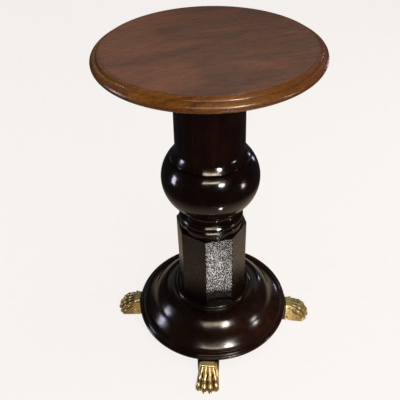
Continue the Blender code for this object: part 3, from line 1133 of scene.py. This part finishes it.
@dataclass
class BrassPaw:
    """A cast toe cap in the shape of a lion's paw, pointing along -Y when modelled."""

    rear: float = 189.0
    cuff_front: float = 203.5
    cuff_height: float = 46.0
    cuff_half: float = 18.0
    sole_half: float = 23.6
    ball_half: float = 26.0
    ball_reach: float = 226.0
    socket_half: float = 17.8
    socket_bottom: float = 4.7
    socket_top: float = 32.3
    socket_reach: float = 222.0
    screw_reach: float = 194.5
    screw_height: float = 12.0
    screw_wall: float = 23.6
    set_back: float = 7.0
    rounds: int = 4
    fineness: float = 0.55
    # Along a toe: reach, height of its middle, radius, spread of the toes from the middle.
    toe_line: tuple[tuple[float, float, float, float], ...] = (
        (200.0, 39.4, 4.5, 8.2),
        (207.0, 37.0, 4.6, 8.9),
        (213.5, 34.2, 5.2, 9.9),
        (219.5, 29.8, 4.9, 10.9),
        (226.5, 26.4, 6.2, 12.1),
        (233.0, 20.0, 5.5, 13.0),
        (238.0, 15.2, 6.7, 13.7),
        (242.0, 10.2, 5.9, 13.9),
        (244.4, 5.6, 4.3, 13.9),
    )
    # Along the foot's body: reach, half width at the sole, height.
    body_line: tuple[tuple[float, float, float], ...] = (
        (189.0, 23.6, 44.5),
        (203.0, 24.4, 42.0),
        (214.0, 25.2, 33.0),
        (226.0, 26.0, 25.0),
        (233.0, 25.6, 16.0),
        (239.0, 22.5, 9.0),
    )

    # Along a cheek: reach, height.
    cheek_line: tuple[Point, ...] = (
        (190.0, 41.0), (196.0, 38.5), (203.0, 34.0), (210.0, 28.5),
        (217.0, 23.0), (224.0, 18.0), (231.0, 13.0), (236.0, 8.0),
    )

    def _toe(self, number: int) -> list[bpy.types.Object]:
        """The rounds that make one toe, from the cuff to its claw.

        Args:
            number: 0 to 3, from left to right.

        Returns:
            The rounds.
        """
        off = number - 1.5
        outer = abs(off) > 1
        rounds = []
        let_go()
        for near, far in zip(self.toe_line, self.toe_line[1:]):
            for step in range(self.rounds):
                share = step / self.rounds
                reach, height, radius, pitch = (a + (b - a) * share for a, b in zip(near, far))
                back = self.set_back * max(0.0, (reach - 205) / 43) if outer else 0.0
                bpy.ops.mesh.primitive_uv_sphere_add(
                    segments=20,
                    ring_count=12,
                    radius=radius * MM,
                    location=(off * pitch * MM, -(reach - back) * MM, height * MM),
                    scale=(1.0, 1.15, 1.0),
                )
                rounds.append(added("toe_round"))
        return rounds

    def _body(self) -> bpy.types.Object:
        """The foot's solid body, drawn out section by section from its rear face."""
        lean = self.cuff_half / self.sole_half
        reach, half, height = self.body_line[0]
        let_go()
        bpy.ops.mesh.primitive_plane_add(
            size=1, location=(0, -reach * MM, height / 2 * MM), rotation=(math.pi / 2, 0, 0)
        )
        bpy.context.object.scale = (2 * half * MM, height * MM, 1)
        body = added("paw_body")
        edit(body)
        pick(body, "vertices", lambda point: point.co.z > height * 0.9 * MM)
        bpy.ops.transform.resize(value=(lean, 1, 1), center_override=(0, -reach * MM, 0))
        bpy.ops.mesh.select_all(action="SELECT")
        for near, far in zip(self.body_line, self.body_line[1:]):
            step = (near[0] - far[0]) * MM
            bpy.ops.mesh.extrude_region_move(TRANSFORM_OT_translate={"value": (0, step, 0)})
            bpy.ops.transform.resize(
                value=(far[1] / near[1], 1, far[2] / near[2]), center_override=(0, -far[0] * MM, 0)
            )
        bpy.ops.mesh.select_mode(type="EDGE")
        pick(body, "edges", lambda ends: min(ends[0].z, ends[1].z) > 8 * MM
             and abs(ends[0].y - ends[1].y) > 1 * MM)
        bpy.ops.mesh.bevel(offset=4.0 * MM, segments=4, profile=0.5)
        return tidy(body)

    def model(self) -> bpy.types.Object:
        """The whole cap: body, cuff, side plates and toes, fused, smoothed and hollowed."""
        body = self._body()
        cuff = block(
            "paw_cuff",
            (-self.cuff_half - 0.6, -self.cuff_front, 30),
            (self.cuff_half + 0.6, -self.rear, self.cuff_height),
        )
        edit(cuff)
        pick(cuff, "vertices", lambda point: point.co.y > -(self.rear + 1) * MM)
        bpy.ops.transform.resize(value=(0.79, 1, 1), center_override=(0, -self.rear * MM, 0))
        bpy.ops.mesh.select_mode(type="EDGE")
        pick(cuff, "edges", lambda ends: min(ends[0].z, ends[1].z) > 40 * MM)
        bpy.ops.mesh.bevel(offset=1.6 * MM, segments=3, profile=0.5)
        shapes = [body, cuff]
        for number in range(4):
            shapes += self._toe(number)
        for side in (-1, 1):
            shapes.append(self._side_plate(side))
        take(*shapes)
        bpy.ops.object.join()
        paw = bpy.context.object
        paw.name = "paw_model"
        apply(paw, "REMESH", {"mode": "VOXEL", "voxel_size": self.fineness * MM, "use_smooth_shade": True})
        apply(paw, "SMOOTH", {"factor": 0.5, "iterations": 4})
        cut(paw, block("paw_ground", (-60, -280, -30), (60, -150, 0)), "MANIFOLD")
        half = self.socket_half
        cut(paw, block("paw_socket", (-half, -self.socket_reach, self.socket_bottom),
                       (half, -self.rear + 5, self.socket_top)), "MANIFOLD")
        for side in (-1, 1):
            line = Outline().to((0, 6)).run(2.7, 6).run(2.7, 0).run(1.7, -1.1).run(1.7, -13).run(0, -13)
            hole = turn("paw_hole", line, 20)
            at = Vector((side * (self.screw_wall - 0.3), -self.screw_reach, self.screw_height))
            hole.matrix_world = standing(at, Vector((side, 0, 0)))
            cut(paw, hole, "MANIFOLD")
        return tidy(paw, 50)

    def _side_plate(self, side: int) -> bpy.types.Object:
        """The smooth cheek on one side, its upper edge curving down to the toes.

        Args:
            side: -1 for the left and 1 for the right.

        Returns:
            The cheek.
        """
        reach, high = self.cheek_line[0]
        plate = block("paw_cheek", (-0.9, -reach, 0), (0.9, -self.rear, high))
        edit(plate, "FACE")
        pick(plate, "polygons", lambda face: face.normal.y < -0.9)
        for far, top in self.cheek_line[1:]:
            bpy.ops.mesh.extrude_region_move(
                TRANSFORM_OT_translate={"value": (0, (reach - far) * MM, 0)}
            )
            bpy.ops.transform.resize(value=(1, 1, top / high), center_override=(0, -far * MM, 0))
            high, reach = top, far
        take(plate)
        lean = math.atan((self.sole_half - self.cuff_half) / self.cuff_height)
        flare = math.atan((self.ball_half - self.sole_half) / (self.ball_reach - self.rear))
        hinge = Vector((side * (self.sole_half + 0.1), -self.rear, 0)) * MM
        back = Matrix.Translation(hinge) @ Matrix.Rotation(-side * lean, 4, "Y")
        back = back @ Matrix.Rotation(side * flare, 4, "Z") @ Matrix.Translation((0, self.rear * MM, 0))
        plate.matrix_world = back
        bpy.ops.object.transform_apply(location=True, rotation=True, scale=True)
        return tidy(plate)

    def screw_spots(self) -> dict[str, Matrix]:
        """Where the caps' screws go, by the names of their solids."""
        spots = {}
        for foot in Foot:
            turned = Matrix.Rotation(foot.bearing(), 4, "Z")
            for which, side in (("left", -1), ("right", 1)):
                at = Vector((side * (self.screw_wall - 0.5), -self.screw_reach, self.screw_height))
                spots[f"paw_screw_{foot.value + 1}_{which}"] = turned @ standing(at, Vector((side, 0, 0)))
        return spots

    def build(self, brass: bpy.types.Material) -> None:
        """Build one cap and copy it to the four feet.

        Args:
            brass: the caps' finish.
        """
        model = self.model()
        dress(model, brass)
        for foot in Foot:
            side = foot.name.lower()
            piece = copy_turned(model, f"paw_cap_{side}", Matrix.Rotation(foot.bearing(), 4, "Z"))
            hand_over(piece, "brass", f"paw_{side}")
        bpy.data.objects.remove(model)


@dataclass
class TieRod:
    """The hidden rod with its nuts and washers, whose solids keep their shapes."""

    nodes: tuple[str, ...] = ("tie_rod", "lower_nut", "lower_washer", "upper_nut", "upper_washer")

    def build(self, steel: bpy.types.Material) -> None:
        """Dress the solids.

        Args:
            steel: their finish.
        """
        for name in self.nodes:
            dress(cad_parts[name], steel)
            LOG.info("%s: kept, in steel", name)


# ---------------------------------------------------------------- the studio


def around(bearing: float, reach: float, height: float) -> Vector:
    """A point about the table.

    Args:
        bearing: degrees from the front towards the right.
        reach: how far it is from the axis.
        height: how far it is above the floor.

    Returns:
        The point, in the unit that reach and height are in.
    """
    angle = math.radians(bearing)
    return Vector((math.sin(angle) * reach, -math.cos(angle) * reach, height))


@dataclass
class Studio:
    """The camera, the pale floor and the soft lights."""

    camera_at: Place = (0.0, -0.90855, 1.1156)
    yaw: float = -1.517
    pitch: float = 39.087
    roll: float = -1.833
    lens: float = 47.53
    pale: Colour = (0.922, 0.888, 0.863)

    def camera(self) -> None:
        """Set up the camera."""
        yaw, pitch, roll = (math.radians(angle) for angle in (self.yaw, self.pitch, self.roll))
        ahead = Vector((math.sin(yaw) * math.cos(pitch), math.cos(yaw) * math.cos(pitch), -math.sin(pitch)))
        right = Vector((math.cos(yaw), -math.sin(yaw), 0))
        up = right.cross(ahead)
        leaned_right = math.cos(roll) * right + math.sin(roll) * up
        leaned_up = math.cos(roll) * up - math.sin(roll) * right
        data = bpy.data.cameras.new("studio_camera")
        data.lens = self.lens
        data.sensor_width = 36.0
        data.clip_start = 0.01
        camera = bpy.data.objects.new("studio_camera", data)
        bpy.context.scene.collection.objects.link(camera)
        turned = Matrix((leaned_right, leaned_up, -ahead)).transposed().to_4x4()
        camera.matrix_world = Matrix.Translation(self.camera_at) @ turned
        bpy.context.scene.camera = camera

    def world(self) -> None:
        """A pale backdrop to the eye that stays dim in the polish."""
        world = bpy.data.worlds.new("studio_world")
        bpy.context.scene.world = world
        world.use_nodes = True
        tree = world.node_tree
        tree.nodes.clear()
        eye = tree.nodes.new("ShaderNodeLightPath")
        seen = tree.nodes.new("ShaderNodeBackground")
        seen.inputs["Color"].default_value = (*self.pale, 1)
        room = tree.nodes.new("ShaderNodeBackground")
        room.inputs["Color"].default_value = (0.9, 0.93, 1.0, 1)
        room.inputs["Strength"].default_value = 0.035
        mixed = tree.nodes.new("ShaderNodeMixShader")
        out = tree.nodes.new("ShaderNodeOutputWorld")
        tree.links.new(eye.outputs["Is Camera Ray"], mixed.inputs[0])
        tree.links.new(room.outputs[0], mixed.inputs[1])
        tree.links.new(seen.outputs[0], mixed.inputs[2])
        tree.links.new(mixed.outputs[0], out.inputs[0])

    def floor(self) -> None:
        """A plain pale floor, mostly even, with a faint soft shadow."""
        let_go()
        bpy.ops.mesh.primitive_circle_add(vertices=96, radius=12, fill_type="NGON")
        floor = added("pale_floor")
        sheet = Sheet("pale_floor")
        even = sheet.add("ShaderNodeEmission", None, {"Color": (*self.pale, 1), "Strength": 0.955})
        lit = sheet.add("ShaderNodeBsdfDiffuse", None, {"Color": (0.055, 0.053, 0.051, 1)})
        seen = sheet.add("ShaderNodeAddShader", None, {0: even, 1: lit})
        eye = sheet.add("ShaderNodeLightPath", outlet="Is Camera Ray")
        plain = sheet.add("ShaderNodeBsdfDiffuse", None, {"Color": (0.5, 0.47, 0.44, 1)})
        both = sheet.add("ShaderNodeMixShader", None, {0: eye, 1: plain, 2: seen})
        dress(floor, sheet.show(both))
        floor.visible_glossy = False

    def lamp(
        self,
        name: str,
        at: Vector,
        size: tuple[float, float],
        power: float,
        colour: Colour = (1.0, 0.95, 0.88),
        aim: Place = (0.0, 0.0, 0.45),
        shape: str = "RECTANGLE",
    ) -> bpy.types.Object:
        """Hang one soft lamp.

        Args:
            name: its name.
            at: where it hangs.
            size: its width and height in metres.
            power: its power in watts.
            colour: its colour.
            aim: where it looks.
            shape: RECTANGLE or ELLIPSE.

        Returns:
            The lamp.
        """
        data = bpy.data.lights.new(name, "AREA")
        data.shape = shape
        data.size, data.size_y = size
        data.energy = power
        data.color = colour
        lamp = bpy.data.objects.new(name, data)
        bpy.context.scene.collection.objects.link(lamp)
        way = Vector(aim) - at
        lamp.matrix_world = Matrix.Translation(at) @ way.to_track_quat("-Z", "Y").to_matrix().to_4x4()
        lamp.visible_camera = False
        return lamp

    def near_floor(self) -> None:
        """The lit floor round the table as the polish shows it: warm, brighter to the right."""
        let_go()
        bpy.ops.mesh.primitive_circle_add(vertices=96, radius=1.1, fill_type="NGON", location=(0, 0, -0.001))
        glow = added("near_floor")
        sheet = Sheet("near_floor")
        reach = sheet.add("ShaderNodeVectorMath", {"operation": "LENGTH"}, {0: sheet.object_space}, "Value")
        side = sheet.add("ShaderNodeSeparateXYZ", None, {0: sheet.object_space}, 0)
        strength = reach.ease(0.26, 0.72, 0.46, 0.0) * side.ease(-0.6, 0.6, 0.6, 1.4)
        warm = sheet.add(
            "ShaderNodeEmission", None, {"Color": (1.0, 0.76, 0.50, 1), "Strength": strength}
        )
        clear = sheet.add("ShaderNodeBsdfTransparent")
        dress(glow, sheet.show(sheet.add("ShaderNodeAddShader", None, {0: warm, 1: clear})))
        sheet.material.cycles.emission_sampling = "NONE"
        glow.visible_camera = False
        glow.visible_diffuse = False
        glow.visible_shadow = False

    def card(self, name: str, at: Vector, size: float, strength: float) -> None:
        """A glowing card under the floor, seen only in the polish, as a gloss floor's glint.

        Args:
            name: its name.
            at: its middle.
            size: its radius in metres.
            strength: how bright it is.
        """
        let_go()
        bpy.ops.mesh.primitive_circle_add(vertices=32, radius=size, fill_type="NGON", location=at)
        card = bpy.context.object
        card.name = name
        way = Vector((0, 0, 0.35)) - at
        card.matrix_world = Matrix.Translation(at) @ way.to_track_quat("Z", "Y").to_matrix().to_4x4()
        added(name)
        sheet = Sheet(name)
        glow = sheet.add("ShaderNodeEmission", None, {"Color": (1, 0.96, 0.92, 1), "Strength": strength})
        dress(card, sheet.show(glow))
        sheet.material.cycles.emission_sampling = "NONE"
        card.visible_camera = False
        card.visible_diffuse = False
        card.visible_shadow = False

    def brass_gleam(self) -> None:
        """A lamp that lights the brass caps alone."""
        gleam = self.lamp("brass_gleam", Vector((0.35, -0.5, 2.6)), (0.8, 0.5), 62, (1.0, 0.95, 0.82))
        brasses = bpy.data.collections.new("brasses")
        for foot in Foot:
            brasses.objects.link(bpy.data.objects[f"paw_cap_{foot.name.lower()}"])
        gleam.light_linking.receiver_collection = brasses

    def build(self) -> None:
        """Set up the whole studio."""
        self.camera()
        self.world()
        self.floor()
        # Strip in front and above, the round lamp beside it, and its glint in the floor.
        self.lamp("front_strip", around(2, 1.5, 1.34), (1.15, 0.055), 7.5, (1.0, 0.84, 0.62))
        self.lamp("round_lamp", around(24.5, 1.17, 0.92), (0.24, 0.13), 8, shape="ELLIPSE")
        self.card("floor_glint", around(24.5, 1.17, -0.92), 0.075, 48.0)
        self.near_floor()
        self.lamp("right_window", around(72, 2.2, 0.30), (0.26, 0.30), 5.2, (1.0, 0.95, 0.9))
        self.lamp("left_window", around(-87, 2.2, 0.48), (0.36, 0.62), 11.0, (0.82, 0.80, 1.0))
        self.lamp("rear_window", around(136, 2.2, 0.28), (0.12, 0.34), 1.6, (0.74, 0.70, 1.0))
        fill = self.lamp("right_fill", around(105, 1.8, 0.9), (1.2, 1.2), 30, (1.0, 0.80, 0.60))
        fill.visible_glossy = False
        above = self.lamp("overhead", Vector((0.35, -0.5, 2.6)), (1.4, 1.0), 42, (1.0, 0.95, 0.88))
        above.visible_glossy = False
        self.brass_gleam()
        self.lamp("back_wall", Vector((0.2, 2.4, 2.2)), (5.0, 0.95), 5.8, (0.95, 1.0, 0.93), aim=(0, 0, 0.73))
        scene = bpy.context.scene
        scene.view_settings.view_transform = "Standard"
        LOG.info("studio: camera, floor and lamps")


def main() -> None:
    """Build every sub-assembly in order, then the studio."""
    logging.basicConfig(level=logging.INFO, format="%(name)s: %(message)s")
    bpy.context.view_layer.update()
    mahogany = PolishedMahogany().make()
    plain = PlainWood().make()
    polish = DarkPolish().make()
    octagon_polish = DarkPolish(
        name="dark_polish_grained",
        gloss=0.22,
        grain_depth=0.045,
        grain_scale=160.0,
        grain_stretch=3.0,
        open_pores=0.13,
    ).make()
    base_polish = DarkPolish(
        name="dark_polish_base",
        brown=(0.0080, 0.0024, 0.0009),
        red=(0.0190, 0.0056, 0.0019),
        gloss=0.165,
        grain_stretch=2.0,
    ).make()
    brass = CastBrass().make()
    steel = Steel("steel", (0.50, 0.50, 0.50), (0.30, 0.29, 0.27), 0.30).make()
    black_steel = Steel("screw_steel", (0.07, 0.05, 0.035), (0.02, 0.015, 0.012), 0.42).make()

    top = RoundTop()
    top.build(mahogany, plain)
    Column().build(polish, octagon_polish)
    TurnedBase().build(base_polish, plain)
    cross = Cross()
    cross.build(base_polish)
    Screws("bar_screw", BAR_SCREW).place(cross.screw_spots(), steel, "steel")
    Screws("plate_screw", PLATE_SCREW).place(top.screw_spots(), steel, "steel")
    paw = BrassPaw()
    paw.build(brass)
    Screws("paw_screw", PAW_SCREW).place(paw.screw_spots(), black_steel, "screw_steel")
    TieRod().build(steel)
    Studio().build()


if __name__ == "__main__":
    main()
